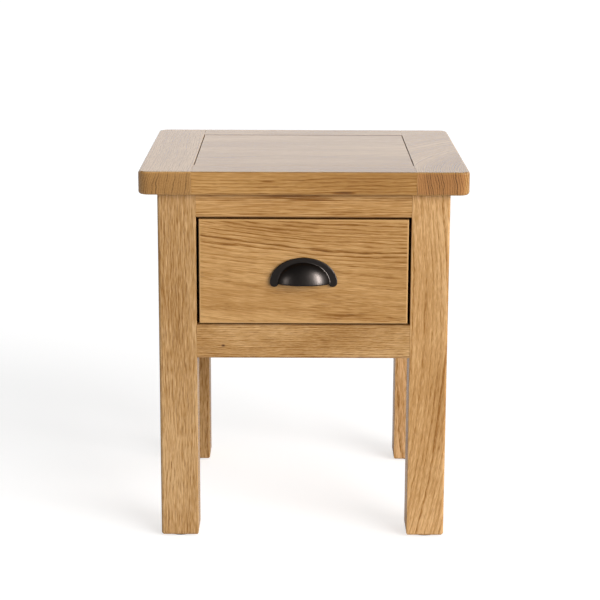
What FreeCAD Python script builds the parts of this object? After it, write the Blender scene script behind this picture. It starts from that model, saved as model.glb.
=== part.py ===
"""Side table with one drawer: solid-oak legs, rails and a framed top, and a metal cup pull.

Frame: millimetres, +Z up, X to the right and Y to the back as seen by someone facing the
drawer. The origin is on the floor, under the middle of the table's overall box.
Each board is drawn in a frame of its own, from its lowest corner, and then placed.
Right-hand pieces are mirrors of the left-hand ones.
"""
import FreeCAD, Part
import math
import os
import re
import Sketcher

# Driving dimensions in millimetres: name -> (value, what it is).
SIZES = {
    # Table as a whole
    "table_height": (510, "floor to the top's upper face"),
    "frame_width": (388, "over the legs, left to right"),
    "front_overhang": (12, "top in front of the legs"),
    "rear_overhang": (8, "top behind the legs"),
    # Top: two stiles, two rails and a flush panel
    "top_width": (437, "left to right"),
    "top_depth": (400, "front to back"),
    "top_thickness": (31, "stiles and rails"),
    "stile_width": (70.5, "side pieces of the top"),
    "top_rail_width": (57, "front and rear pieces of the top"),
    "top_corner": (14, "radius of the top's corners in plan"),
    "top_round": (3, "radius along the upper edge"),
    "under_round": (4, "radius along the lower edge"),
    "panel_thickness": (20, "panel of the top"),
    "panel_gap": (1.3, "shadow gap at the panel's left and right"),
    "panel_front_gap": (0.4, "gap at the panel's front"),
    "panel_rear_gap": (2.6, "shadow gap at the panel's rear"),
    "swell_room": (2, "space past a panel's tongue for the wood to move"),
    "slot_level": (17, "lower face of the slot round the panel, above the top's underside"),
    "slot_margin": (15, "slot stops this far from a stile's ends"),
    # Tongues, tenons and edges
    "tongue": (8, "thickness of every tongue and tenon"),
    "tongue_length": (12, "tongue on a panel or a top rail"),
    "tenon_length": (20, "tenon on a front rail"),
    "tenon_margin": (5, "tenon stops this far from the rail's edges"),
    "tongue_start": (10, "apron tongues start this far above the apron's lower edge"),
    "arris": (0.8, "light rounding on edges that are touched"),
    "joint_bevel": (0.4, "bevel that marks a flush joint line"),
    # Legs and feet
    "leg_size": (51, "square section"),
    "leg_round": (4, "outer upright edge and foot"),
    "glide_thickness": (2, "pad under each foot"),
    "glide_radius": (19.5, "pad under each foot"),
    # Frame between the legs
    "rail_thickness": (20, "front rails"),
    "upper_rail_height": (31.5, "above the drawer"),
    "opening_height": (146.5, "drawer opening"),
    "lower_rail_height": (46, "below the drawer"),
    "apron_thickness": (18, "side and back panels"),
    "apron_setback": (6, "side and back panels behind the legs' outer faces"),
    # Drawer support
    "runner_width": (52, "runner and kicker, from the side panel inwards"),
    "runner_height": (20, "under the drawer's sides"),
    "guide_height": (18, "strip beside the drawer"),
    "guide_play": (0.6, "guide to the drawer's side"),
    "stop_width": (24, "drawer stop"),
    "stop_height": (30, "drawer stop"),
    "stop_inset": (60, "drawer stop, from the table's middle to its near end"),
    "slide_play": (0.3, "drawer's sides above the runners, and drawer to its stops"),
    # Drawer
    "front_side_gap": (3.6, "drawer front to each leg"),
    "front_top_gap": (2.8, "drawer front to the upper rail"),
    "front_foot_gap": (2, "drawer front to the lower rail"),
    "front_thickness": (20, "drawer front"),
    "front_round": (1.5, "edges of the drawer front's face"),
    "drawer_length": (328, "drawer front's face to the rear end of the sides"),
    "drawer_width": (276, "over the drawer's sides"),
    "side_board": (12, "thickness of the drawer's sides and back"),
    "side_height": (133.5, "drawer's sides"),
    "back_setback": (8, "drawer's back, from the rear end of the sides"),
    "back_housing": (4, "drawer's back let into each side"),
    "back_drop": (9, "drawer's back below the sides' upper edge"),
    "bottom_thickness": (6, "drawer's bottom"),
    "bottom_level": (9, "groove above the sides' lower edge"),
    "bottom_groove": (5, "depth of the grooves for the bottom"),
    "tail_length": (13, "dovetails, into the drawer front"),
    "tail_tip": (15, "half width of a dovetail at its tip"),
    "tail_root": (12, "half width of a dovetail at its root"),
    "tail_pitch": (43, "dovetail to dovetail"),
    # Cup pull
    "pull_width": (90, "over the flange"),
    "pull_height": (39.5, "over the flange"),
    "pull_projection": (18, "in front of the drawer front"),
    "pull_lip": (4.6, "lip of the cup above the lowest point of the flange"),
    "pull_plate": (4.5, "thickness of the flange, which holds the screws"),
    "pull_wall": (2, "thickness of the cup"),
    "cup_width": (72, "cup, where it leaves the flange"),
    "cup_height": (29.5, "cup, from its lip"),
    "lobe_radius": (6, "rounded end of the flange"),
    # Screws
    "screw_radius": (2.2, "wood screws"),
    "screw_head": (4.2, "radius of a wood screw's head"),
    "screw_cone": (3, "height of a wood screw's countersunk head"),
    "screw_room": (0.1, "radial room round every screw"),
    "top_screw_length": (36, "kicker into the top"),
    "top_screw_sink": (9.5, "head above the kicker's lower face"),
    "top_screw_pitch": (85, "screw to screw along a kicker"),
    "top_screw_place": (10, "screw from the kicker's outer edge"),
    "runner_screw_length": (36, "runner into the side panel"),
    "runner_screw_sink": (30, "head behind the runner's inner edge"),
    "runner_screw_pitch": (180, "screw to screw along a runner"),
    "bottom_screw_length": (20, "drawer's bottom into its back"),
    "bottom_screw_pitch": (100, "screw to screw along the drawer's back"),
    "pull_screw_radius": (2, "machine screws of the pull"),
    "pull_screw_head": (4, "radius of a machine screw's head"),
    "pull_screw_cap": (2.4, "height of a machine screw's head"),
    "pull_screw_bite": (3.5, "length of thread in the pull"),
}

# Places worked out from the driving dimensions, in the table's frame unless said otherwise.
PLACES = {
    "half_width": "frame_width / 2",
    "inner_half": "half_width - leg_size",
    "half_depth": "(top_depth + pull_projection - front_overhang) / 2",
    "front_face": "pull_projection - half_depth",
    "rear_face": "half_depth - rear_overhang",
    "top_front": "front_face - front_overhang",
    "top_middle": "top_front + top_depth / 2",
    "leg_front_inner": "front_face + leg_size",
    "leg_rear_inner": "rear_face - leg_size",
    "leg_top": "table_height - top_thickness",
    "leg_height": "leg_top - glide_thickness",
    "opening_top": "leg_top - upper_rail_height",
    "opening_foot": "opening_top - opening_height",
    "apron_foot": "opening_foot - lower_rail_height",
    "apron_height": "leg_top - apron_foot",
    "apron_outer": "half_width - apron_setback",
    "apron_inner": "apron_outer - apron_thickness",
    "back_inner": "rear_face - apron_setback - apron_thickness",
    "rail_back": "front_face + rail_thickness",
    "runner_length": "back_inner - rail_back",
    "tongue_side": "(apron_thickness - tongue) / 2",
    "top_rail_length": "top_width - 2 * stile_width",
    "drawer_foot": "opening_foot + slide_play",
    "drawer_rear": "front_face + drawer_length",
    "drawer_half": "drawer_width / 2",
    "drawer_inner": "drawer_half - side_board",
    "front_width": "2 * (inner_half - front_side_gap)",
    "front_foot": "opening_foot + front_foot_gap",
    "front_height": "opening_height - front_foot_gap - front_top_gap",
    "front_back": "front_face + front_thickness",
    "side_length": "drawer_length - front_thickness + tail_length",
    "bottom_foot": "drawer_foot + bottom_level",
    "bottom_top": "bottom_foot + bottom_thickness",
    "back_rear": "drawer_rear - back_setback",
    "pull_foot": "front_foot + (front_height - pull_height) / 2",
    "lip_level": "pull_foot + pull_lip",
    "lobe_half": "pull_width / 2 - lobe_radius",
    "lobe_level": "pull_foot + lobe_radius",
}

DOVETAILS = 3
TOP_SCREWS_A_SIDE = 3
RUNNER_SCREWS_A_SIDE = 2
BOTTOM_SCREWS = 3
TOUCH = 1e-4          # how near an edge has to be to count as lying in a plane

doc = FreeCAD.newDocument("SideTable")
sheet = doc.addObject("Spreadsheet::Sheet", "Spec")
nodes = []            # the objects that are written out, one file each


# ---------------------------------------------------------------- sizes and expressions

def fill_sheet():
    for row, (name, (value, note)) in enumerate(SIZES.items(), start=1):
        sheet.set("A%d" % row, name)
        sheet.set("B%d" % row, str(value))
        sheet.set("C%d" % row, note)
        sheet.setAlias("B%d" % row, name)
    doc.recompute()


def bound(text):
    """The expression text with places written out and dimensions read from the sheet."""
    def swap(match):
        word = match.group(0)
        if word in PLACES:
            return "(" + bound(PLACES[word]) + ")"
        return "Spec." + word if word in SIZES else word
    return re.sub(r"[a-z_]+", swap, str(text))


def bind(thing, **properties):
    """Bind properties of an object to expressions; a double underscore stands for a dot."""
    for name, text in properties.items():
        thing.setExpression(name.replace("__", "."), bound(text))


def place(thing, x, y, z):
    bind(thing, Placement__Base__x=x, Placement__Base__y=y, Placement__Base__z=z)


def node(thing, name):
    """Mark an object as a finished piece of the table."""
    thing.Label = name
    nodes.append(thing)
    return thing


# ---------------------------------------------------------------- boards drawn in sketches

def new_body(name):
    body = doc.addObject("PartDesign::Body", name)
    body.Label = name
    return body


def outline(body, name, role, points, level):
    """A closed sketch of straight lines on an origin plane, moved along its normal by level.

    The lines are first laid out round a circle; the constraints then pull each corner into place.
    """
    sketch = body.newObject("Sketcher::SketchObject", name)
    plane = [item for item in body.Origin.OriginFeatures if item.Role == role][0]
    sketch.AttachmentSupport = (plane, [""])
    sketch.MapMode = "FlatFace"
    sketch.setExpression("AttachmentOffset.Base.z", bound(level))
    count = len(points)
    corners = []
    for index in range(count):
        turn = 2 * math.pi * index / count
        corners.append(FreeCAD.Vector(math.cos(turn), math.sin(turn), 0))
    for index in range(count):
        sketch.addGeometry(Part.LineSegment(corners[index], corners[(index + 1) % count]), False)
    for index in range(count):
        sketch.addConstraint(Sketcher.Constraint("Coincident", index, 2, (index + 1) % count, 1))
    for index, point in enumerate(points):
        for kind, text in zip(("DistanceX", "DistanceY"), point):
            number = sketch.addConstraint(Sketcher.Constraint(kind, -1, 1, index, 1, 1.0))
            sketch.setExpression("Constraints[%d]" % number, bound(text))
    return sketch


def corners_of(x, y):
    return [(x[0], y[0]), (x[1], y[0]), (x[1], y[1]), (x[0], y[1])]


def pad(body, name, points, z):
    """Solid over a plan outline, from height z[0] to z[1] in the body's own frame."""
    feature = body.newObject("PartDesign::Pad", name)
    feature.Profile = outline(body, name + "Sketch", "XY_Plane", points, z[0])
    bind(feature, Length="(%s) - (%s)" % (z[1], z[0]))
    body.Tip = feature
    return feature


def pocket(body, name, x, y, z):
    """Box-shaped recess; the sketch lies in its upper face and the cut goes down."""
    doc.recompute()
    before = body.Shape.Volume
    feature = body.newObject("PartDesign::Pocket", name)
    feature.Profile = outline(body, name + "Sketch", "XY_Plane", corners_of(x, y), z[1])
    bind(feature, Length="(%s) - (%s)" % (z[1], z[0]))
    body.Tip = feature
    doc.recompute()
    if body.Shape.Volume > before - TOUCH:
        raise RuntimeError(name + " cuts nothing")
    return feature


def on_sides(edge, box, sides):
    """True if an edge lies in every named side of the box, such as "-x +z", and in no "!" one."""
    for side in sides.split():
        avoid = side.startswith("!")
        sign, axis = side.strip("!")
        plane = getattr(box, axis.upper() + ("Max" if sign == "+" else "Min"))
        low = getattr(edge.BoundBox, axis.upper() + "Min")
        high = getattr(edge.BoundBox, axis.upper() + "Max")
        if (abs(low - plane) < TOUCH and abs(high - plane) < TOUCH) == avoid:
            return False
    return True


def dress(body, kind, name, radius, *choices):
    """Fillet or chamfer of the edges that fit any of the choices of sides."""
    doc.recompute()
    base = body.Tip
    box = base.Shape.BoundBox
    chosen = []
    for number, edge in enumerate(base.Shape.Edges, start=1):
        if any(on_sides(edge, box, sides) for sides in choices):
            chosen.append("Edge%d" % number)
    feature = body.newObject("PartDesign::" + kind, name)
    feature.Base = (base, chosen)
    bind(feature, **{"Radius" if kind == "Fillet" else "Size": radius})
    body.Tip = feature
    return feature


# ---------------------------------------------------------------- primitives and booleans

def box(name, x, y, z):
    """Part::Box between pairs of expressions in the table's frame."""
    solid = doc.addObject("Part::Box", name)
    for prop, pair in zip(("Length", "Width", "Height"), (x, y, z)):
        solid.setExpression(prop, bound("(%s) - (%s)" % (pair[1], pair[0])))
    place(solid, x[0], y[0], z[0])
    return solid


def cylinder(name, radius, length, at, towards):
    solid = doc.addObject("Part::Cylinder", name)
    bind(solid, Radius=radius, Height=length)
    solid.Placement.Rotation = FreeCAD.Rotation(FreeCAD.Vector(0, 0, 1), towards)
    place(solid, *at)
    return solid


def cone(name, radius_low, radius_high, length, at, towards):
    solid = doc.addObject("Part::Cone", name)
    bind(solid, Radius1=radius_low, Radius2=radius_high, Height=length)
    solid.Placement.Rotation = FreeCAD.Rotation(FreeCAD.Vector(0, 0, 1), towards)
    place(solid, *at)
    return solid


def cut(name, base, tool):
    result = doc.addObject("Part::Cut", name)
    result.Base = base
    result.Tool = tool
    return result


def fuse(name, *shapes):
    result = doc.addObject("Part::MultiFuse", name)
    result.Shapes = list(shapes)
    result.Refine = True
    return result


def group(name, solids):
    result = doc.addObject("Part::Compound", name)
    result.Links = solids
    return result


def mirror(name, source, axis="x", middle="0"):
    """The opposite hand of a piece, reflected across a plane at middle on the given axis."""
    result = doc.addObject("Part::Mirroring", name)
    result.Source = source
    result.Normal = FreeCAD.Vector(*(1.0 if axis == letter else 0.0 for letter in "xyz"))
    result.setExpression("Base." + axis, bound(middle))
    return node(result, name)


# ---------------------------------------------------------------- screws and their holes

UP = FreeCAD.Vector(0, 0, 1)
LEFT = FreeCAD.Vector(-1, 0, 0)
RIGHT = FreeCAD.Vector(1, 0, 0)
FORWARD = FreeCAD.Vector(0, -1, 0)


def spread(count, pitch, middle):
    """Evenly spaced places, count of them, about a middle."""
    return ["%s + %s * (%s)" % (middle, index - (count - 1) / 2, pitch) for index in range(count)]


def wood_screw(name, length, at, towards, room):
    """Countersunk screw; with room it is the hole that the screw sits in."""
    head = cone(name + "Head", "screw_head + " + room, "screw_radius + " + room, "screw_cone",
                at, towards)
    shank = cylinder(name + "Shank", "screw_radius + " + room, length, at, towards)
    return fuse(name, head, shank)


def top_screw_places(side):
    """Heads of the screws that go up through a kicker into the top; side is -1 or 1."""
    x = "%d * (apron_inner - top_screw_place)" % side
    z = "opening_top + top_screw_sink"
    return [(x, y, z) for y in spread(TOP_SCREWS_A_SIDE, "top_screw_pitch", "top_middle")]


def runner_screw_places(side):
    """Heads of the screws that go outwards through a runner into the side panel."""
    x = "%d * (apron_inner - runner_width + runner_screw_sink)" % side
    z = "opening_foot - runner_height / 2"
    return [(x, y, z) for y in spread(RUNNER_SCREWS_A_SIDE, "runner_screw_pitch", "top_middle")]


def bottom_screw_places():
    x_places = spread(BOTTOM_SCREWS, "bottom_screw_pitch", "0")
    return [(x, "back_rear - side_board / 2", "bottom_foot") for x in x_places]


def wood_screws(name, length, places, towards, room="0"):
    solids = []
    for number, at in enumerate(places):
        solids.append(wood_screw("%s_%d" % (name, number), length, at, towards, room))
    return solids


def pull_screw(name, side, room):
    """Machine screw from inside the drawer front into the end of the pull's flange."""
    at = ["%d * lobe_half" % side, "front_back", "lobe_level"]
    length = "front_thickness + pull_screw_bite"
    shank = cylinder(name + "Shank", "pull_screw_radius + " + room, length, at, FORWARD)
    if room != "0":
        return shank
    at_cap = [at[0], "front_back + pull_screw_cap", at[2]]
    cap = cylinder(name + "Cap", "pull_screw_head", "pull_screw_cap", at_cap, FORWARD)
    return fuse(name, cap, shank)


# ---------------------------------------------------------------- the top

def top_stiles():
    """Side pieces of the top, front to back, with the slot that holds the rails and the panel."""
    body = new_body("stile_blank")
    pad(body, "StileBoard", corners_of(("0", "stile_width"), ("0", "top_depth")),
        ("0", "top_thickness"))
    dress(body, "Fillet", "StileCorners", "top_corner", "-x -y", "-x +y")
    dress(body, "Fillet", "StileTopRound", "top_round", "+z !+x")
    dress(body, "Fillet", "StileUnderRound", "under_round", "-z !+x")
    dress(body, "Chamfer", "StileJointBevel", "joint_bevel", "+x +z")
    pocket(body, "StileSlot", ("stile_width - tongue_length", "stile_width"),
           ("slot_margin", "top_depth - slot_margin"), ("slot_level", "slot_level + tongue"))
    place(body, "-top_width / 2", "top_front", "leg_top")
    holes = group("top_screw_holes_left", wood_screws(
        "top_hole", "top_screw_length", top_screw_places(-1), UP, "screw_room"))
    left = node(cut("top_left_stile", body, holes), "top_left_stile")
    mirror("top_right_stile", left)
    return holes


def top_rails():
    """Front and rear pieces of the top, left to right, between the stiles."""
    body = new_body("top_front_rail")
    ends = ("tongue_length", "tongue_length + top_rail_length")
    pad(body, "TopRailBoard", corners_of(ends, ("0", "top_rail_width")), ("0", "top_thickness"))
    dress(body, "Fillet", "TopRailRound", "top_round", "-y +z")
    dress(body, "Fillet", "TopRailUnderRound", "under_round", "-y -z")
    dress(body, "Chamfer", "TopRailJointBevel", "joint_bevel", "-x +z", "+x +z")
    pad(body, "TopRailTongues",
        corners_of(("0", "top_rail_length + 2 * tongue_length"),
                   ("slot_margin", "top_rail_width - tongue_length")),
        ("slot_level", "slot_level + tongue"))
    pocket(body, "TopRailSlot", ends, ("top_rail_width - tongue_length", "top_rail_width"),
           ("slot_level", "slot_level + tongue"))
    place(body, "-top_rail_length / 2 - tongue_length", "top_front", "leg_top")
    node(body, "top_front_rail")
    mirror("top_rear_rail", body, "y", "top_middle")


def top_panel():
    """Panel flush with the frame of the top; its tongue runs in the slot all round."""
    body = new_body("top_panel")
    reach = "(tongue_length - swell_room)"
    width = "(top_rail_length - 2 * panel_gap)"
    depth = "(top_depth - 2 * top_rail_width - panel_front_gap - panel_rear_gap)"
    side = "(%s + panel_gap)" % reach
    front = "(%s + panel_front_gap)" % reach
    rear = "(%s + panel_rear_gap)" % reach
    pad(body, "PanelBoard",
        corners_of((side, "%s + %s" % (side, width)), (front, "%s + %s" % (front, depth))),
        ("top_thickness - panel_thickness", "top_thickness"))
    dress(body, "Fillet", "PanelArris", "joint_bevel", "+z")
    pad(body, "PanelTongue",
        corners_of(("0", "%s + 2 * %s" % (width, side)), ("0", " + ".join((depth, front, rear)))),
        ("slot_level", "slot_level + tongue"))
    place(body, "-top_rail_length / 2 - " + reach,
          "top_front + top_rail_width - " + reach, "leg_top")
    node(body, "top_panel")


# ---------------------------------------------------------------- legs and feet

def leg_blank(name):
    """Square leg in a frame with its outer faces at x = 0 and y = 0, before its joints."""
    body = new_body(name)
    pad(body, name + "Post", corners_of(("0", "leg_size"), ("0", "leg_size")),
        ("0", "leg_height"))
    dress(body, "Fillet", name + "Round", "leg_round", "-x -y", "-z")
    dress(body, "Fillet", name + "Arris", "arris", "+x -y !-z", "-x +y !-z", "+x +y !-z")
    return body


def apron_groove(body, name, x, y):
    start = "apron_foot + tongue_start - glide_thickness"
    pocket(body, name, x, y, (start, "leg_height"))


def front_legs():
    """Front legs, mortised for the two front rails and grooved for the side panels."""
    body = leg_blank("front_left_leg")
    inner = ("leg_size - tenon_length", "leg_size")
    across = ("(rail_thickness - tongue) / 2", "(rail_thickness + tongue) / 2")
    for name, foot, height in (("Lower", "apron_foot", "lower_rail_height"),
                               ("Upper", "opening_top", "upper_rail_height")):
        low = foot + " - glide_thickness + tenon_margin"
        high = foot + " - glide_thickness + %s - tenon_margin" % height
        pocket(body, name + "Mortise", inner, across, (low, high))
    apron_groove(body, "FrontLegGroove",
                 ("apron_setback + tongue_side", "apron_setback + tongue_side + tongue"),
                 ("leg_size - tongue_length", "leg_size"))
    place(body, "-half_width", "front_face", "glide_thickness")
    node(body, "front_left_leg")
    mirror("front_right_leg", body)


def rear_legs():
    """Rear legs, grooved for the side and back panels and turned so that y = 0 faces outwards."""
    body = leg_blank("rear_left_leg")
    across = ("apron_setback + tongue_side", "apron_setback + tongue_side + tongue")
    inner = ("leg_size - tongue_length", "leg_size")
    apron_groove(body, "RearLegSideGroove", inner, across)
    apron_groove(body, "RearLegBackGroove", across, inner)
    body.Placement.Rotation = FreeCAD.Rotation(UP, -90)
    place(body, "-half_width", "rear_face", "glide_thickness")
    node(body, "rear_left_leg")
    mirror("rear_right_leg", body)


def foot_glides():
    pads = []
    for x in ("-half_width + leg_size / 2", "half_width - leg_size / 2"):
        for y in ("front_face + leg_size / 2", "rear_face - leg_size / 2"):
            pads.append(cylinder("glide_%d" % len(pads), "glide_radius", "glide_thickness",
                                 (x, y, "0"), UP))
    node(group("foot_glides", pads), "foot_glides")


# ---------------------------------------------------------------- rails and panels of the frame

def front_rail(name, foot, height):
    """Rail between the front legs, flush with them, with a tenon at each end."""
    body = new_body(name)
    length = "2 * inner_half"
    pad(body, name + "Board",
        corners_of(("tenon_length", "tenon_length + " + length), ("0", "rail_thickness")),
        ("0", height))
    dress(body, "Fillet", name + "Arris", "arris", "-y -z", "-y +z")
    pad(body, name + "Tenons",
        corners_of(("0", "2 * tenon_length + " + length),
                   ("(rail_thickness - tongue) / 2", "(rail_thickness + tongue) / 2")),
        ("tenon_margin", height + " - tenon_margin"))
    place(body, "-inner_half - tenon_length", "front_face", foot)
    return node(body, name)


def side_panels(runner_holes):
    """Side aprons, tongued into the front and rear legs."""
    body = new_body("side_panel_blank")
    span = "(leg_rear_inner - leg_front_inner)"
    pad(body, "SideBoard",
        corners_of(("0", "apron_thickness"), ("tongue_length", "tongue_length + " + span)),
        ("0", "apron_height"))
    dress(body, "Fillet", "SideArris", "arris", "-x -z")
    pad(body, "SideTongues",
        corners_of(("tongue_side", "tongue_side + tongue"), ("0", "2 * tongue_length + " + span)),
        ("tongue_start", "apron_height"))
    place(body, "-apron_outer", "leg_front_inner - tongue_length", "apron_foot")
    left = node(cut("left_side_panel", body, runner_holes), "left_side_panel")
    mirror("right_side_panel", left)


def back_panel():
    """Back apron, tongued into the rear legs."""
    body = new_body("back_panel")
    pad(body, "BackBoard",
        corners_of(("tongue_length", "tongue_length + 2 * inner_half"), ("0", "apron_thickness")),
        ("0", "apron_height"))
    dress(body, "Fillet", "BackArris", "arris", "+y -z")
    pad(body, "BackTongues",
        corners_of(("0", "2 * tongue_length + 2 * inner_half"),
                   ("tongue_side", "tongue_side + tongue")),
        ("tongue_start", "apron_height"))
    place(body, "-inner_half - tongue_length", "back_inner", "apron_foot")
    node(body, "back_panel")


# ---------------------------------------------------------------- drawer support

def notched_board(name, z):
    """Board along a side panel, notched round both legs, from the front rail to the back."""
    body = new_body(name)
    shoulder = "apron_inner - inner_half"
    front_notch = "leg_front_inner - rail_back"
    rear_notch = "leg_rear_inner - rail_back"
    pad(body, name + "Board", [
        (shoulder, "0"), ("runner_width", "0"),
        ("runner_width", "runner_length"), (shoulder, "runner_length"),
        (shoulder, rear_notch), ("0", rear_notch),
        ("0", front_notch), (shoulder, front_notch)], ("0", "(%s) - (%s)" % (z[1], z[0])))
    place(body, "-apron_inner", "rail_back", z[0])
    return body


def sink_hole(name, radius, length, places, towards):
    """Wide holes that let screw heads lie below the surface."""
    return [cylinder("%s_%d" % (name, number), radius, length, at, towards)
            for number, at in enumerate(places)]


def runners(screw_holes):
    """Boards that the drawer's sides slide on, screwed to the side panels."""
    board = notched_board("runner_blank", ("opening_foot - runner_height", "opening_foot"))
    places = [("-apron_inner + runner_width", y, z) for x, y, z in runner_screw_places(-1)]
    sinks = sink_hole("runner_sink", "screw_head + screw_room", "runner_screw_sink", places, LEFT)
    tools = fuse("runner_holes", screw_holes, *sinks)
    left = node(cut("left_runner", board, tools), "left_runner")
    mirror("right_runner", left)


def kickers(screw_holes):
    """Boards above the drawer's sides that stop it tipping and take the screws of the top."""
    board = notched_board("kicker_blank", ("opening_top", "leg_top"))
    places = [(x, y, "opening_top") for x, y, z in top_screw_places(-1)]
    sinks = sink_hole("kicker_sink", "screw_head + screw_room", "top_screw_sink", places, UP)
    tools = fuse("kicker_holes", screw_holes, *sinks)
    left = node(cut("left_kicker", board, tools), "left_kicker")
    mirror("right_kicker", left)


def guides():
    """Strips glued on the runners that keep the drawer straight."""
    left = node(box("left_guide", ("-apron_inner", "-drawer_half - guide_play"),
                    ("leg_front_inner", "leg_rear_inner"),
                    ("opening_foot", "opening_foot + guide_height")), "left_guide")
    mirror("right_guide", left)


def drawer_stops():
    """Two blocks on the back panel that the closed drawer meets."""
    blocks = []
    for x in (("-stop_inset - stop_width", "-stop_inset"), ("stop_inset", "stop_inset + stop_width")):
        blocks.append(box("stop_%d" % len(blocks), x, ("back_rear + slide_play", "back_inner"),
                          ("bottom_top + stop_height / 2", "bottom_top + stop_height * 3 / 2")))
    node(group("drawer_stops", blocks), "drawer_stops")


def frame_screws():
    """Screws of the top and of the runners, both sides."""
    top = []
    low = []
    for side, outwards in ((-1, LEFT), (1, RIGHT)):
        tag = "left" if side < 0 else "right"
        top += wood_screws("top_screw_" + tag, "top_screw_length", top_screw_places(side), UP)
        low += wood_screws("runner_screw_" + tag, "runner_screw_length",
                           runner_screw_places(side), outwards)
    node(group("top_screws", top), "top_screws")
    node(group("runner_screws", low), "runner_screws")


# ---------------------------------------------------------------- the drawer

def dovetailed_outline():
    """Side board seen from the left: (distance from the tail tips, height above its foot)."""
    points = [("tail_length", "0"), ("side_length", "0"),
              ("side_length", "side_height"), ("tail_length", "side_height")]
    for level in reversed(spread(DOVETAILS, "tail_pitch", "side_height / 2")):
        points += [("tail_length", level + " + tail_root"), ("0", level + " + tail_tip"),
                   ("0", level + " - tail_tip"), ("tail_length", level + " - tail_root")]
    return points


def drawer_sides():
    """Sides with dovetails at the front, a groove for the bottom and a housing for the back."""
    body = new_body("drawer_left_side")
    feature = body.newObject("PartDesign::Pad", "SideTails")
    feature.Profile = outline(body, "SideTailsSketch", "YZ_Plane", dovetailed_outline(), "0")
    bind(feature, Length="side_board")
    body.Tip = feature
    inner = ("side_board - bottom_groove", "side_board")
    pocket(body, "SideBottomGroove", inner, ("tail_length - bottom_groove", "side_length"),
           ("bottom_level", "bottom_level + bottom_thickness"))
    back = "side_length - back_setback"
    pocket(body, "SideBackHousing", ("side_board - back_housing", "side_board"),
           (back + " - side_board", back),
           ("bottom_level + bottom_thickness", "side_height"))
    place(body, "-drawer_half", "front_back - tail_length", "drawer_foot")
    node(body, "drawer_left_side")
    return body, mirror("drawer_right_side", body)


def drawer_front(sides):
    """Front with rounded edges, sockets for the dovetails, a groove and two screw holes."""
    body = new_body("drawer_front_blank")
    pad(body, "FrontBoard", corners_of(("0", "front_width"), ("0", "front_thickness")),
        ("0", "front_height"))
    dress(body, "Fillet", "FrontRound", "front_round", "-y")
    groove_foot = "bottom_foot - front_foot"
    pocket(body, "FrontGroove",
           ("front_width / 2 - drawer_inner - bottom_groove",
            "front_width / 2 + drawer_inner + bottom_groove"),
           ("front_thickness - bottom_groove", "front_thickness"),
           (groove_foot, groove_foot + " + bottom_thickness"))
    place(body, "-front_width / 2", "front_face", "front_foot")
    holes = [pull_screw("pull_hole_%d" % number, side, "screw_room")
             for number, side in enumerate((-1, 1))]
    tools = group("drawer_front_cuts", list(sides) + holes)
    return node(cut("drawer_front", body, tools), "drawer_front")


def drawer_back_and_bottom():
    """Back let into the sides, and the bottom, which slides in under it from behind."""
    holes = group("bottom_screw_holes", wood_screws(
        "bottom_hole", "bottom_screw_length", bottom_screw_places(), UP, "screw_room"))
    back = box("drawer_back_blank", ("-drawer_inner - back_housing", "drawer_inner + back_housing"),
               ("back_rear - side_board", "back_rear"),
               ("bottom_top", "drawer_foot + side_height - back_drop"))
    node(cut("drawer_back", back, holes), "drawer_back")
    bottom = box("drawer_bottom_blank",
                 ("-drawer_inner - bottom_groove", "drawer_inner + bottom_groove"),
                 ("front_back - bottom_groove", "drawer_rear"), ("bottom_foot", "bottom_top"))
    node(cut("drawer_bottom", bottom, holes), "drawer_bottom")
    screws = wood_screws("bottom_screw", "bottom_screw_length", bottom_screw_places(), UP)
    node(group("bottom_screws", screws), "bottom_screws")


# ---------------------------------------------------------------- the cup pull

def quarter_egg(name, reach_x, reach_y, reach_z):
    """The part of an ellipsoid in front of the drawer front and above the cup's lip."""
    egg = doc.addObject("Part::Ellipsoid", name)
    egg.Angle1 = 0
    egg.Angle2 = 90
    egg.Angle3 = 180
    bind(egg, Radius1=reach_z, Radius2=reach_x, Radius3=reach_y)
    egg.Placement.Rotation = FreeCAD.Rotation(UP, 180)
    place(egg, "0", "front_face", "lip_level")
    return egg


def flange():
    """Arched plate against the drawer front: the upper half of an ellipse, with round ends."""
    curve = doc.addObject("Part::Ellipse", "flange_curve")
    bind(curve, MajorRadius="pull_width / 2", MinorRadius="pull_height - lobe_radius")
    curve.Placement.Rotation = FreeCAD.Rotation(RIGHT, 90)
    place(curve, "0", "front_face", "lobe_level")
    plate = doc.addObject("Part::Extrusion", "flange_plate")
    plate.Base = curve
    plate.DirMode = "Custom"
    plate.Dir = FORWARD
    plate.Solid = True
    bind(plate, LengthFwd="pull_plate")
    below = box("flange_lower_half", ("-pull_width", "pull_width"),
                ("front_face - pull_width", "front_face + pull_width"),
                ("lobe_level - pull_height", "lobe_level"))
    arch = cut("flange_arch", plate, below)
    lobes = []
    for number, side in enumerate((-1, 1)):
        at = ("%d * lobe_half" % side, "front_face", "lobe_level")
        lobes.append(cylinder("lobe_%d" % number, "lobe_radius", "pull_plate", at, FORWARD))
    return [arch] + lobes


def cup_pull():
    """Cup pull: a quarter-egg shell on an arched flange whose round ends take the screws."""
    outer = quarter_egg("cup_outer", "cup_width / 2", "pull_projection", "cup_height")
    inner = quarter_egg("cup_inner", "cup_width / 2 - pull_wall", "pull_projection - pull_wall",
                        "cup_height - pull_wall")
    solid = fuse("pull_solid", outer, *flange())
    holes = [pull_screw("pull_thread_%d" % number, side, "screw_room")
             for number, side in enumerate((-1, 1))]
    node(cut("cup_pull", solid, group("pull_cuts", [inner] + holes)), "cup_pull")


def pull_screws():
    screws = [pull_screw("pull_screw_%d" % number, side, "0") for number, side in enumerate((-1, 1))]
    node(group("pull_screws", screws), "pull_screws")


# ---------------------------------------------------------------- build, check and write

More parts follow.
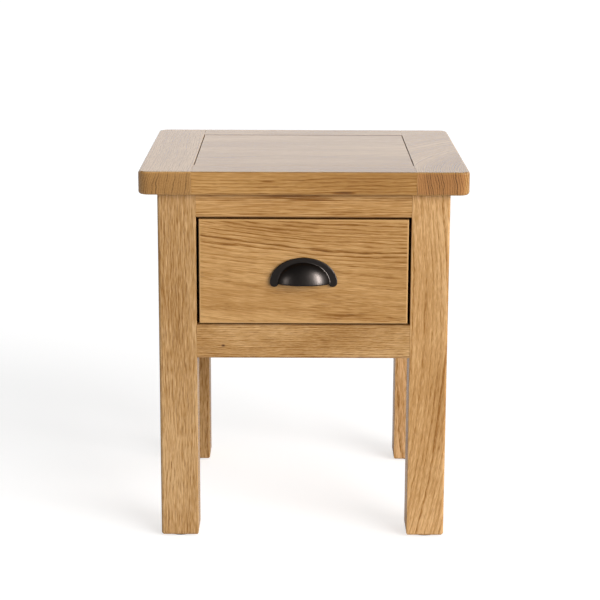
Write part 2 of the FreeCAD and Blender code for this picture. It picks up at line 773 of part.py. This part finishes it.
def build():
    fill_sheet()
    top_holes = top_stiles()
    top_rails()
    top_panel()
    front_legs()
    rear_legs()
    foot_glides()
    front_rail("upper_front_rail", "opening_top", "upper_rail_height")
    front_rail("lower_front_rail", "apron_foot", "lower_rail_height")
    runner_holes = group("runner_screw_holes", wood_screws(
        "runner_hole", "runner_screw_length", runner_screw_places(-1), LEFT, "screw_room"))
    side_panels(runner_holes)
    back_panel()
    runners(runner_holes)
    guides()
    kickers(top_holes)
    drawer_stops()
    frame_screws()
    drawer_front(drawer_sides())
    drawer_back_and_bottom()
    cup_pull()
    pull_screws()
    doc.recompute()


def check():
    for thing in doc.Objects:
        if "Invalid" in thing.State or "Error" in thing.State:
            raise RuntimeError("%s failed: %s" % (thing.Label, thing.State))
    for thing in nodes:
        if thing.Shape.isNull() or not thing.Shape.isValid():
            raise RuntimeError(thing.Label + " has no valid shape")


def write():
    os.makedirs("parts", exist_ok=True)
    for thing in nodes:
        thing.Shape.exportStep("parts/%s.step" % thing.Label)
        reach = thing.Shape.BoundBox
        print("%-20s %2d solids  x %7.1f %7.1f  y %7.1f %7.1f  z %6.1f %6.1f" % (
            thing.Label, len(thing.Shape.Solids), reach.XMin, reach.XMax,
            reach.YMin, reach.YMax, reach.ZMin, reach.ZMax))


build()
check()
write()
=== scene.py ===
import math

import bmesh
import bpy
from mathutils import Matrix, Vector


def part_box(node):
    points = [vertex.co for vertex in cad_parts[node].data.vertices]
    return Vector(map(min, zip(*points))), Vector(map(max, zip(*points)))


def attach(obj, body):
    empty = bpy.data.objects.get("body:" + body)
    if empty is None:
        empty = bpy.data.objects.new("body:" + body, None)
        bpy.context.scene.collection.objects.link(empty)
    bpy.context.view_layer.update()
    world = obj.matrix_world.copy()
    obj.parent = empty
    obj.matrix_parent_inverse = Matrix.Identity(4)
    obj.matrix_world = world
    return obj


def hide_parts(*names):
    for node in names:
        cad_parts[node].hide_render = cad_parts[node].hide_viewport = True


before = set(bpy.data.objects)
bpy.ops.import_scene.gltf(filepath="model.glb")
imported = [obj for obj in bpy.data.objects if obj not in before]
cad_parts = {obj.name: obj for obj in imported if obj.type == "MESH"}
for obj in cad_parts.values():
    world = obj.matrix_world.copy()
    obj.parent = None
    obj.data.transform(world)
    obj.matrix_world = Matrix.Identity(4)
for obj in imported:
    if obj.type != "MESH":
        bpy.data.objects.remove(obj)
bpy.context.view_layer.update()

MM = 0.001
PULL_CUP_WIDTH = 72 * MM
PULL_LIP = 4.6 * MM              # above the lowest point of the flange
BEAD_RADIUS = 1.1 * MM
BEAD_RISE = 0.3 * MM             # of the bead's centre above the lip
BEAD_STEPS = 72
BEAD_SIDES = 12
CASTING_VOXEL = 0.55 * MM

# ------------------------------------------------------------------ camera

CAMERA_PLACE = (-0.0101, -2.5086, 0.8904)
CAMERA_PITCH = 0.2234            # downwards, radians
CAMERA_YAW = 0.0023              # towards +X, radians
CAMERA_ROLL = 0.0039             # radians
CAMERA_LENS = 107.2              # millimetres, on a sensor 36 mm wide
CAMERA_SHIFT = -0.033            # a slight rise of the lens, as in the photograph


def make_camera():
    data = bpy.data.cameras.new("camera")
    data.sensor_width = 36.0
    data.lens = CAMERA_LENS
    data.shift_y = CAMERA_SHIFT
    camera = bpy.data.objects.new("camera", data)
    turn = (Matrix.Rotation(-CAMERA_YAW, 4, "Z")
            @ Matrix.Rotation(math.pi / 2 - CAMERA_PITCH, 4, "X")
            @ Matrix.Rotation(CAMERA_ROLL, 4, "Z"))
    camera.matrix_world = Matrix.Translation(CAMERA_PLACE) @ turn
    bpy.context.collection.objects.link(camera)
    bpy.context.scene.camera = camera


# ------------------------------------------------------------------ node graphs as formulas

class Graph:
    """Adds nodes to a tree; every method takes numbers or sockets and returns a socket."""

    def __init__(self, tree):
        self.tree = tree

    def node(self, kind, **settings):
        item = self.tree.nodes.new(kind)
        for name, value in settings.items():
            setattr(item, name, value)
        return item

    def feed(self, socket, value):
        if isinstance(value, bpy.types.NodeSocket):
            self.tree.links.new(value, socket)
        else:
            socket.default_value = value

    def math(self, operation, *values, clamp=False):
        item = self.node("ShaderNodeMath", operation=operation, use_clamp=clamp)
        for socket, value in zip(item.inputs, values):
            self.feed(socket, value)
        return item.outputs[0]

    def vector(self, operation, *values):
        item = self.node("ShaderNodeVectorMath", operation=operation)
        for socket, value in zip(item.inputs, values):
            self.feed(socket, value)
        return item.outputs["Value" if operation in ("LENGTH", "DOT_PRODUCT") else "Vector"]

    def split(self, vector):
        item = self.node("ShaderNodeSeparateXYZ")
        self.feed(item.inputs[0], vector)
        return item.outputs[0], item.outputs[1], item.outputs[2]

    def join(self, x, y, z):
        item = self.node("ShaderNodeCombineXYZ")
        for socket, value in zip(item.inputs, (x, y, z)):
            self.feed(socket, value)
        return item.outputs[0]

    def noise(self, vector, detail=2.0, roughness=0.5):
        item = self.node("ShaderNodeTexNoise", noise_dimensions="3D")
        self.feed(item.inputs["Vector"], vector)
        item.inputs["Scale"].default_value = 1.0
        item.inputs["Detail"].default_value = detail
        item.inputs["Roughness"].default_value = roughness
        return item.outputs["Fac"]

    def step(self, value, low, high):
        """Smooth ramp from 0 at low to 1 at high."""
        item = self.node("ShaderNodeMapRange", interpolation_type="SMOOTHSTEP")
        for name, number in zip(("Value", "From Min", "From Max"), (value, low, high)):
            self.feed(item.inputs[name], number)
        return item.outputs["Result"]

    def mix(self, factor, first, second):
        item = self.node("ShaderNodeMix", data_type="RGBA")
        for index, value in ((0, factor), (6, first), (7, second)):
            self.feed(item.inputs[index], value)
        return item.outputs[2]

    def tint(self, colour, amount):
        """Colour times a number."""
        item = self.node("ShaderNodeVectorMath", operation="SCALE")
        self.feed(item.inputs[0], colour)
        self.feed(item.inputs["Scale"], amount)
        return item.outputs[0]


# ------------------------------------------------------------------ studio

WHITE = (1.0, 1.0, 1.0, 1.0)

# Brightness of the room by direction.
ROOM = {"front": 0.3, "right": 2.3, "left": 0.4, "rear": 1.42, "above": 0.1, "front_above": 0.2}

FLOOR_REACH = 40.0               # metres, so that its rim is never in view
FLOOR_CORNERS = 96
FLOOR_GREY = (0.66, 0.66, 0.66, 1)
FLOOR_GLOW = 0.1                 # in the light on the object
FLOOR_GLOW_SEEN = 0.56           # added for the camera only, to reach the photograph's white

KEY_TOWARDS = (0.66, -0.69, 0.30)
KEY_ANGLE = 44                   # degrees across
KEY_ENERGY = 2.95

PULL_AIM = (0.0, -0.19, 0.37)
PULL_STRIPS = (                  # name, place, width, height, power
    ("strip", (1.32, -1.78, 0.75), 0.3, 1.3, 135),
    ("low_strip", (-1.5, -1.5, 0.45), 0.4, 0.6, 12),
)


def make_room():
    """A plain white backdrop, and soft panels of light all round that show only in the light."""
    world = bpy.data.worlds.new("studio")
    world.use_nodes = True
    tree = world.node_tree
    g = Graph(tree)
    x, y, z = g.split(g.node("ShaderNodeTexCoord").outputs["Generated"])

    def between(factor, first, second):
        return g.math("ADD", g.math("MULTIPLY", factor, g.math("SUBTRACT", second, first)), first)

    panel = between(g.step(x, -0.6, 0.6), ROOM["left"], ROOM["right"])
    panel = between(g.step(y, -0.95, -0.3), ROOM["front"], panel)
    panel = between(g.step(y, 0.2, 0.8), panel, ROOM["rear"])
    above = between(g.step(y, 0.1, -0.4), ROOM["above"], ROOM["front_above"])
    panel = between(g.step(z, 0.3, 0.6), panel, above)
    # Reflections see no panel brighter than the rear one, so the top has no glare from any side.
    path = g.node("ShaderNodeLightPath").outputs
    panel = between(path["Is Glossy Ray"], panel, g.math("MINIMUM", panel, ROOM["rear"]))
    background = tree.nodes["Background"]
    background.inputs["Color"].default_value = WHITE
    g.feed(background.inputs["Strength"], between(path["Is Camera Ray"], panel, 1.0))
    bpy.context.scene.world = world
    bpy.context.scene.view_settings.view_transform = "Standard"


def make_floor():
    """A pale disc, a little brighter to the camera than in the light it gives."""
    mesh = bpy.data.meshes.new("floor")
    turns = [2 * math.pi * index / FLOOR_CORNERS for index in range(FLOOR_CORNERS)]
    rim = [(FLOOR_REACH * math.cos(turn), FLOOR_REACH * math.sin(turn), 0) for turn in turns]
    mesh.from_pydata(rim, [], [tuple(range(FLOOR_CORNERS))])
    floor = bpy.data.objects.new("floor", mesh)
    bpy.context.collection.objects.link(floor)
    material = bpy.data.materials.new("floor")
    material.use_nodes = True
    shader = material.node_tree.nodes["Principled BSDF"]
    shader.inputs["Base Color"].default_value = FLOOR_GREY
    shader.inputs["Roughness"].default_value = 0.9
    shader.inputs["Specular IOR Level"].default_value = 0.0
    shader.inputs["Emission Color"].default_value = WHITE
    g = Graph(material.node_tree)
    seen = g.node("ShaderNodeLightPath").outputs["Is Camera Ray"]
    glow = g.math("MULTIPLY_ADD", seen, FLOOR_GLOW_SEEN, FLOOR_GLOW)
    g.feed(shader.inputs["Emission Strength"], glow)
    mesh.materials.append(material)


def area_light(name, place, aim, width, height, power):
    data = bpy.data.lights.new(name, "AREA")
    data.shape = "RECTANGLE"
    data.size = width
    data.size_y = height
    data.energy = power
    light = bpy.data.objects.new(name, data)
    light.location = place
    light.rotation_euler = (Vector(aim) - Vector(place)).to_track_quat("-Z", "Y").to_euler()
    bpy.context.collection.objects.link(light)
    return light


def make_key():
    """A low, wide key from the front right; it is left out of reflections, as if diffused."""
    data = bpy.data.lights.new("key", "SUN")
    data.energy = KEY_ENERGY
    data.angle = math.radians(KEY_ANGLE)
    key = bpy.data.objects.new("key", data)
    key.visible_glossy = False
    key.rotation_euler = Vector(KEY_TOWARDS).to_track_quat("Z", "Y").to_euler()
    bpy.context.collection.objects.link(key)


def light_pull(pull):
    """Two strips of light that shine on the pull alone and give it its highlights."""
    only = bpy.data.collections.new("pull_only")
    only.objects.link(pull)
    for name, place, width, height, power in PULL_STRIPS:
        light = area_light(name, place, PULL_AIM, width, height, power)
        light.light_linking.receiver_collection = only


# ------------------------------------------------------------------ oak

PALE = (0.64, 0.372, 0.146, 1)
MIDDLE = (0.46, 0.237, 0.071, 1)
DARK = (0.265, 0.105, 0.015, 1)
PORE = (0.15, 0.056, 0.012, 1)
KNOT = (0.1, 0.035, 0.01, 1)
END_GRAIN = (0.305, 0.153, 0.044, 1)


def oak_group():
    """Oak as a solid: growth rings about a heart, flecks, pores and slow changes of tone."""
    tree = bpy.data.node_groups.new("oak", "ShaderNodeTree")
    face = tree.interface
    for name, kind in (("Place", "NodeSocketVector"), ("Seed", "NodeSocketVector"),
                       ("Heart", "NodeSocketVector"), ("Ring", "NodeSocketFloat"),
                       ("Wave", "NodeSocketFloat"), ("Figure", "NodeSocketFloat"),
                       ("Fleck", "NodeSocketFloat"), ("Ticks", "NodeSocketFloat"),
                       ("Bend", "NodeSocketFloat"), ("Mark", "NodeSocketFloat"),
                       ("End", "NodeSocketFloat"), ("End Color", "NodeSocketColor"),
                       ("Tone", "NodeSocketVector")):
        face.new_socket(name, in_out="INPUT", socket_type=kind)
    for name, kind in (("Color", "NodeSocketColor"), ("Roughness", "NodeSocketFloat"),
                       ("Height", "NodeSocketFloat")):
        face.new_socket(name, in_out="OUTPUT", socket_type=kind)
    given = tree.nodes.new("NodeGroupInput").outputs
    result = tree.nodes.new("NodeGroupOutput").inputs
    g = Graph(tree)

    place = g.vector("ADD", given["Place"], given["Seed"])

    def stretched(across, along, **settings):
        """Noise about zero, drawn out along the grain."""
        value = g.noise(g.vector("MULTIPLY", place, (across, across, along)), **settings)
        return g.math("SUBTRACT", value, 0.5)

    # Growth rings, bent out of round by slow and quick warps.
    u, v, _ = g.split(given["Place"])
    hu, hv, _ = g.split(given["Heart"])
    reach = g.vector("LENGTH", g.join(g.math("SUBTRACT", u, hu), g.math("SUBTRACT", v, hv), 0.0))
    reach = g.math("ADD", reach, g.math("MULTIPLY", stretched(0.011, 0.0042, detail=1.5),
                                        given["Wave"]))
    reach = g.math("ADD", reach, g.math("MULTIPLY", stretched(0.06, 0.013), 5.0))
    reach = g.math("ADD", reach, g.math("MULTIPLY", stretched(0.16, 0.045), 1.6))
    reach = g.math("ADD", reach, given["Bend"])
    rings = g.math("DIVIDE", reach, given["Ring"])
    spacing = g.noise(g.join(g.math("MULTIPLY", rings, 0.35), 0.0, 3.7), detail=1.0)
    rings = g.math("ADD", rings, g.math("MULTIPLY", spacing, 1.6))
    part = g.math("FRACT", rings)
    chance = g.node("ShaderNodeTexWhiteNoise", noise_dimensions="1D")
    g.feed(chance.inputs["W"], g.math("FLOOR", rings))
    strength = g.math("MULTIPLY_ADD", chance.outputs["Value"], 0.8, 0.2)
    early = g.math("MULTIPLY", g.step(part, 0.7, 0.0), g.step(part, 0.0, 0.12))
    early = g.math("MULTIPLY", early, strength)

    long_fleck = stretched(0.62, 0.03, detail=2.5, roughness=0.6)
    fleck = stretched(1.05, 0.075, detail=2.0, roughness=0.6)
    fine = stretched(2.0, 0.12, detail=2.0, roughness=0.6)
    pore = stretched(1.6, 0.10, detail=1.0)
    patch = stretched(0.02, 0.006)

    broken = g.math("MULTIPLY_ADD", fleck, 3.0, 0.85, clamp=True)
    ticks = g.math("MULTIPLY", g.step(pore, 0.04, 0.15), g.math("MULTIPLY_ADD", early, 1.0, 0.3))
    ticks = g.math("MULTIPLY", ticks, given["Ticks"])

    shade = g.math("MULTIPLY", g.math("MULTIPLY", early, broken), given["Figure"])
    for value, amount in ((long_fleck, 1.5), (fleck, 1.9)):
        value = g.math("MULTIPLY", value, amount)
        shade = g.math("ADD", shade, g.math("MULTIPLY", value, given["Fleck"]))
    for value, amount in ((fine, 0.9), (patch, 1.2)):
        shade = g.math("ADD", shade, g.math("MULTIPLY", value, amount))
    mark = g.math("MULTIPLY", given["Mark"], g.math("MULTIPLY_ADD", long_fleck, 4.0, 0.7, clamp=True))
    shade = g.math("ADD", g.math("ADD", shade, mark), 0.38)

    colour = g.mix(g.step(shade, 0.0, 0.6), PALE, MIDDLE)
    colour = g.mix(g.step(shade, 0.5, 1.2), colour, DARK)
    colour = g.mix(g.step(shade, 1.3, 2.1), colour, PORE)
    colour = g.mix(g.math("MULTIPLY", ticks, 0.7, clamp=True), colour, PORE)
    end_tone = g.math("MULTIPLY_ADD", early, -0.7, g.math("MULTIPLY_ADD", shade, -0.5, 1.4))
    end_colour = g.tint(given["End Color"], end_tone)
    colour = g.mix(given["End"], colour, end_colour)
    g.feed(result["Color"], g.vector("MULTIPLY", colour, given["Tone"]))

    rough = g.math("MULTIPLY_ADD", fine, 0.15, 0.42)
    g.feed(result["Roughness"], g.math("ADD", rough, g.math("MULTIPLY", ticks, 0.15)))
    height = g.math("MULTIPLY_ADD", fine, 0.5, g.math("MULTIPLY", fleck, 0.4))
    height = g.math("SUBTRACT", height, g.math("MULTIPLY", ticks, 0.6))
    height = g.math("SUBTRACT", height, g.math("MULTIPLY", early, 0.2))
    g.feed(result["Height"], height)
    return tree


OAK = oak_group()

# Which board axis is the grain: the order in which x, y, z become (across, across, along).
GRAIN = {"x": (2, 1, 0), "y": (0, 2, 1), "z": (0, 1, 2)}


def board_material(node, grain, heart=(90, 40), ring=3.6, wave=26, figure=0.9, calm=None,
                   fleck=1.0, short=1.0, ticks=0.8, lean=0.0, bow=0.0, marks=(), tone=(1, 1, 1),
                   seed=(0, 0, 0), end=0.8, end_colour=END_GRAIN, coat=1.0, edge=0.25, knot=None):
    """Oak for one board, in millimetres from its centre: across, thickness and along the grain.

    heart is the middle of the tree. calm = (across, figure) gives the figure below that line.
    lean and bow tilt and curve the grain. short above 1 shortens its flecks, and below 1 draws
    them out. edge paints the arrises: paler above 0, a painted highlight, and darker below 0,
    painted shade in gaps and under overhangs, which also darkens joints. Each mark darkens a
    streak: (along, across, half length, half width, strength); most are dark streaks in the wood,
    and those along the top of the upper rail are also painted shade under the top. knot is a
    place in metres.
    """
    material = bpy.data.materials.new(node)
    material.use_nodes = True
    tree = material.node_tree
    g = Graph(tree)
    shader = tree.nodes["Principled BSDF"]
    coords = g.node("ShaderNodeTexCoord")
    low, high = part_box(node)
    centre = (low + high) / 2
    local = g.vector("SUBTRACT", coords.outputs["Object"], tuple(centre))
    local = g.vector("SCALE", local)
    local.node.inputs["Scale"].default_value = 1000.0
    axes = g.split(local)
    order = GRAIN[grain]
    u, v, w = [axes[index] for index in order]
    if lean or bow:
        tilt = g.math("MULTIPLY", w, g.math("MULTIPLY_ADD", w, bow, lean))
        u = g.math("ADD", u, tilt)
    place = g.join(u, v, g.math("MULTIPLY", w, short))

    wood = g.node("ShaderNodeGroup", node_tree=OAK)
    ins = wood.inputs
    g.feed(ins["Place"], place)
    for name, value in (("Seed", seed), ("Heart", (heart[0], heart[1], 0)), ("Ring", ring),
                        ("Wave", wave), ("Figure", figure), ("Fleck", fleck), ("Ticks", ticks),
                        ("Tone", Vector(tone)), ("End Color", end_colour)):
        ins[name].default_value = value
    if calm:
        above = g.step(u, calm[0] - 6.0, calm[0] + 6.0)
        g.feed(ins["Figure"], g.math("MULTIPLY_ADD", above, figure - calm[1], calm[1]))

    facing = g.split(coords.outputs["Normal"])[order[2]]
    end_face = g.step(g.math("ABSOLUTE", facing), 0.75, 0.97)
    g.feed(ins["End"], g.math("MULTIPLY", end_face, end))

    # Each mark darkens a spot: most are dark streaks, and the upper rail's are also painted shade
    # under the top.
    streaks_and_painted_shade = None
    for along, across, half_length, half_width, strength in marks:
        spot = g.join(g.math("SUBTRACT", u, across), 0.0, g.math("SUBTRACT", w, along))
        spot = g.vector("MULTIPLY", spot, (1 / half_width, 0.0, 1 / half_length))
        mark = g.math("MULTIPLY", g.step(g.vector("LENGTH", spot), 1.0, 0.2), strength)
        streaks_and_painted_shade = mark if streaks_and_painted_shade is None else g.math("ADD", streaks_and_painted_shade, mark)
    if marks:
        g.feed(ins["Mark"], streaks_and_painted_shade)

    colour = wood.outputs["Color"]
    if knot:
        away = g.vector("SUBTRACT", local, tuple(value * 1000 for value in Vector(knot) - centre))
        distance = g.vector("LENGTH", g.vector("MULTIPLY", away, (0.6, 1.0, 1.0)))
        g.feed(ins["Bend"], g.math("MULTIPLY", g.step(distance, 12.0, 0.0), 3.0))
        colour = g.mix(g.step(distance, 2.3, 0.6), colour, KNOT)

    #     Arrises are painted paler above 0, a painted highlight, and darker below 0, painted shade in
    #     gaps and under overhangs that also darkens joints.
    half = (high - low) / 2 * 1000
    gaps = [g.math("SUBTRACT", half[i], g.math("ABSOLUTE", axes[i])) for i in range(3)]
    nearest = g.math("MINIMUM", g.math("MINIMUM", gaps[0], gaps[1]), gaps[2])
    farthest = g.math("MAXIMUM", g.math("MAXIMUM", gaps[0], gaps[1]), gaps[2])
    total = g.math("ADD", g.math("ADD", gaps[0], gaps[1]), gaps[2])
    to_edge = g.math("SUBTRACT", g.math("SUBTRACT", total, nearest), farthest)
    # Painted highlight (edge above 0) or painted shade and dark joints (edge below 0) along the
    # arrises.
    arris_light_shade_joints = g.math("MULTIPLY", g.step(to_edge, 3.0, 0.6), abs(edge))
    colour = g.mix(arris_light_shade_joints, colour, PALE if edge > 0 else PORE)

    g.feed(shader.inputs["Base Color"], colour)
    g.feed(shader.inputs["Roughness"], wood.outputs["Roughness"])
    bump = g.node("ShaderNodeBump")
    bump.inputs["Strength"].default_value = 0.35
    bump.inputs["Distance"].default_value = 0.3 * MM
    g.feed(bump.inputs["Height"], wood.outputs["Height"])
    g.feed(shader.inputs["Normal"], bump.outputs["Normal"])
    shader.inputs["Specular IOR Level"].default_value = 0.0
    shader.inputs["Coat Weight"].default_value = coat
    shader.inputs["Coat Roughness"].default_value = 0.27
    return material


def paint(node, material):
    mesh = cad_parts[node].data
    for index in range(len(mesh.materials)):
        mesh.materials[index] = material
    if not mesh.materials:
        mesh.materials.append(material)


def rail_knot():
    """A pin knot in the face of the lower rail, about a seventh of its length from the left."""
    low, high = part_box("lower_front_rail")
    return (low.x + 0.17 * (high.x - low.x), low.y, low.z + 0.37 * (high.z - low.z))


def paint_boards():
    boards = {
        "top_left_stile": dict(grain="y", heart=(-180, 12), ring=3.0, figure=0.7, fleck=0.6,
                               short=0.6, seed=(11, 4, 70)),
        "top_right_stile": dict(grain="y", heart=(-40, -14), ring=3.0, wave=7, figure=1.6,
                                fleck=0.4, short=0.6, lean=-0.7, bow=-0.0018,
                                seed=(35, 9, 210), end=0.9, end_colour=(0.375, 0.165, 0.05, 1)),
        "top_front_rail": dict(grain="x", heart=(60, -38), ring=4.4, figure=0.7, fleck=0.55,
                               short=0.6, seed=(5, 61, 18), tone=(0.88, 0.84, 0.72),
                               marks=[(52, -12, 20, 2.2, 2.4), (-48, 3, 14, 1.5, 0.9)]),
        # Its darkened arrises are painted shade in the gap behind the panel.
        "top_rear_rail": dict(grain="x", heart=(-50, -60), figure=0.4, fleck=0.5, edge=-0.95,
                              seed=(70, 2, 31)),
        "top_panel": dict(grain="x", heart=(30, -70), ring=4.6, wave=30, figure=0.45,
                          fleck=0.5, short=0.7, ticks=0.4, edge=0.0, seed=(4, 8, 150)),
        "front_left_leg": dict(grain="z", heart=(-130, 60), ring=3.4, figure=0.4, fleck=1.1,
                               short=0.75, ticks=1.1, seed=(21, 77, 5), tone=(0.98, 1.04, 1.22)),
        "front_right_leg": dict(grain="z", heart=(-75, 50), ring=5.0, wave=14, figure=0.85,
                                fleck=0.6, lean=-0.06, bow=0.00035, tone=(1.15, 1.2, 1.4),
                                seed=(50, 13, 66)),
        "rear_left_leg": dict(grain="z", heart=(90, 70), tone=(0.85, 0.85, 0.87), seed=(9, 120, 40)),
        "rear_right_leg": dict(grain="z", heart=(-80, 90), tone=(1.05, 1.08, 1.3), seed=(130, 20, 11)),
        # Its dark arrises are painted shade under the top and over the drawer, and dark joints at its
        # ends; its marks are dark streaks and painted shade under the top.
        "upper_front_rail": dict(grain="x", heart=(110, 30), ring=3.0, wave=14, figure=0.8,
                                 fleck=0.7, short=0.5, seed=(61, 42, 3), edge=-0.65,
                                 marks=[(-14, 12, 75, 4, 1.1), (10, 8, 40, 2.5, 0.9)]),
        # Its darkened arrises are painted shade in the gap under the drawer.
        "lower_front_rail": dict(grain="x", heart=(120, 20), ring=2.5, wave=11, figure=0.85,
                                 fleck=0.55, short=1.1, ticks=1.1, seed=(88, 19, 47),
                                 tone=(1.02, 1.07, 1.2), edge=-0.4, knot=rail_knot()),
        "left_side_panel": dict(grain="y", heart=(60, 80), seed=(3, 140, 90)),
        "right_side_panel": dict(grain="y", heart=(-60, 70), seed=(17, 33, 160)),
        "back_panel": dict(grain="x", heart=(70, 50), seed=(140, 71, 25)),
        # Its pale arrises are a painted highlight.
        "drawer_front": dict(grain="x", heart=(-38, 95), ring=3.0, wave=12, figure=1.6, fleck=0.6,
                             calm=(-4, 0.4), short=0.6, lean=0.07, bow=-0.0002,
                             seed=(41, 95, 7), tone=(0.99, 0.99, 0.99), edge=0.9,
                             marks=[(70, -57, 70, 8, 0.7)]),
    }
    for node, look in boards.items():
        paint(node, board_material(node, **look))
    plain = {"left_runner": "y", "right_runner": "y", "left_kicker": "y", "right_kicker": "y",
             "left_guide": "y", "right_guide": "y", "drawer_stops": "z",
             "drawer_left_side": "y", "drawer_right_side": "y", "drawer_back": "x",
             "drawer_bottom": "x"}
    for number, (node, grain) in enumerate(plain.items()):
        look = dict(heart=(70 + 9 * number, 60), seed=(13 * number, 7, 29 * number), figure=0.45,
                    fleck=0.6, ticks=0.4, tone=(1.05, 1.05, 1.05), coat=0.0, edge=0.1)
        paint(node, board_material(node, grain, **look))


# ------------------------------------------------------------------ metal and pads

def simple_material(name, colour, roughness, metallic, speckle=0.15, scale=400.0):
    """Plain finish with a slight, fine variation of tone and gloss."""
    material = bpy.data.materials.new(name)
    material.use_nodes = True
    g = Graph(material.node_tree)
    shader = material.node_tree.nodes["Principled BSDF"]
    coords = g.node("ShaderNodeTexCoord").outputs["Object"]
    grain = g.noise(g.vector("MULTIPLY", coords, (scale, scale, scale)), detail=3.0)
    tone = g.math("MULTIPLY_ADD", grain, speckle, 1.0 - speckle / 2)
    g.feed(shader.inputs["Base Color"], g.tint(colour, tone))
    g.feed(shader.inputs["Roughness"], g.math("MULTIPLY_ADD", grain, 0.1, roughness))
    shader.inputs["Metallic"].default_value = metallic
    return material


def add_lip_bead(shell):
    """A round bead along the lower edge of the cup, within the cup's own outline."""
    low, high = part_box("cup_pull")
    wide = PULL_CUP_WIDTH / 2 - BEAD_RADIUS
    deep = (high.y - low.y) - BEAD_RADIUS
    level = low.z + PULL_LIP + BEAD_RISE
    middle = (low.x + high.x) / 2
    rings = []
    for index in range(BEAD_STEPS + 1):
        turn = math.pi * index / BEAD_STEPS
        centre = Vector((middle - wide * math.cos(turn), high.y - deep * math.sin(turn), level))
        outward = Vector((-math.cos(turn) / wide, -math.sin(turn) / deep, 0)).normalized()
        ring = []
        for side in range(BEAD_SIDES):
            angle = 2 * math.pi * side / BEAD_SIDES
            offset = outward * math.cos(angle) + Vector((0, 0, 1)) * math.sin(angle)
            ring.append(shell.verts.new(centre + offset * BEAD_RADIUS))
        rings.append(ring)
    for near, far in zip(rings, rings[1:]):
        for side in range(BEAD_SIDES):
            after = (side + 1) % BEAD_SIDES
            shell.faces.new((near[side], near[after], far[after], far[side]))
    shell.faces.new(rings[0][::-1])
    shell.faces.new(rings[-1])


def make_pull():
    """The cup pull as one smooth casting, from the CAD solid, with every edge softened."""
    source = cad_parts["cup_pull"]
    pull = bpy.data.objects.new("cup_pull_casting", source.data.copy())
    bpy.context.collection.objects.link(pull)
    shell = bmesh.new()
    shell.from_mesh(pull.data)
    add_lip_bead(shell)
    shell.to_mesh(pull.data)
    shell.free()
    remesh = pull.modifiers.new("remesh", "REMESH")
    remesh.mode = "VOXEL"
    remesh.voxel_size = CASTING_VOXEL
    remesh.use_smooth_shade = True
    smooth = pull.modifiers.new("smooth", "SMOOTH")
    smooth.factor = 0.5
    smooth.iterations = 4
    bpy.context.view_layer.update()
    graph = bpy.context.evaluated_depsgraph_get()
    final = bpy.data.meshes.new_from_object(pull.evaluated_get(graph))
    pull.modifiers.clear()
    pull.data = final
    final.materials.clear()
    final.materials.append(simple_material("pull_metal", (0.027, 0.023, 0.021), 0.29, 1.0))
    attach(pull, "drawer")
    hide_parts("cup_pull")
    return pull


make_camera()
make_room()
make_floor()
make_key()
paint_boards()
light_pull(make_pull())
for screws in ("top_screws", "runner_screws", "bottom_screws", "pull_screws"):
    paint(screws, simple_material(screws, (0.55, 0.55, 0.53), 0.35, 1.0))
paint("foot_glides", simple_material("foot_glides", (0.035, 0.028, 0.02), 0.8, 0.0))
